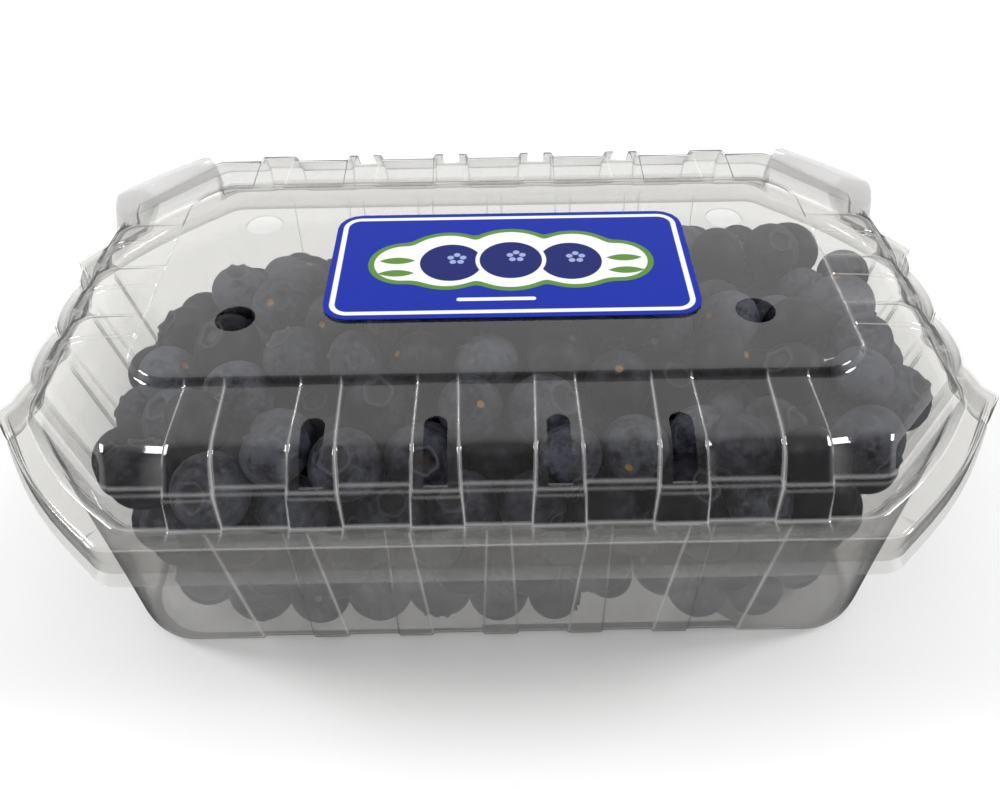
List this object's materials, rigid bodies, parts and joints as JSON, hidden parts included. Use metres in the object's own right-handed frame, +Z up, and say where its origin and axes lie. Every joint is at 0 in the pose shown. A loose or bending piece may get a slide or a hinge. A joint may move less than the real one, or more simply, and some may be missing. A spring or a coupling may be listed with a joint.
{
  "type": "punnet of blueberries",
  "caption": "Clear hinged fruit punnet with ribbed tray and vented octagonal lid, filled with blueberries, and a bare printed label on the lid.",
  "frame": {"origin": "centre of the pack's footprint, on the surface it stands on", "axes": "+X along the pack's length, +Y to the rear where the lid is hinged, +Z up"},
  "size_m": [0.1914, 0.1189, 0.0609],
  "materials": {
    "clear_sheet": "clear, glossy thermoformed sheet",
    "label_paper": "satin print, blue with a white line",
    "berry_skin": "dark blue skin with a dull waxy bloom"
  },
  "bodies": {
    "tray": {"tray": "clear_sheet", "hinge_fold": "clear_sheet", "berries": "berry_skin"},
    "lid": {"lid": "clear_sheet", "label": "label_paper"}
  },
  "joints": [
    {"name": "lid_hinge", "type": "hinge", "parent": "tray", "child": "lid", "pos_m": [0, 0.0589, 0.04535], "axis": [-1, 0, 0], "range_deg": [0, 180]}
  ]
}
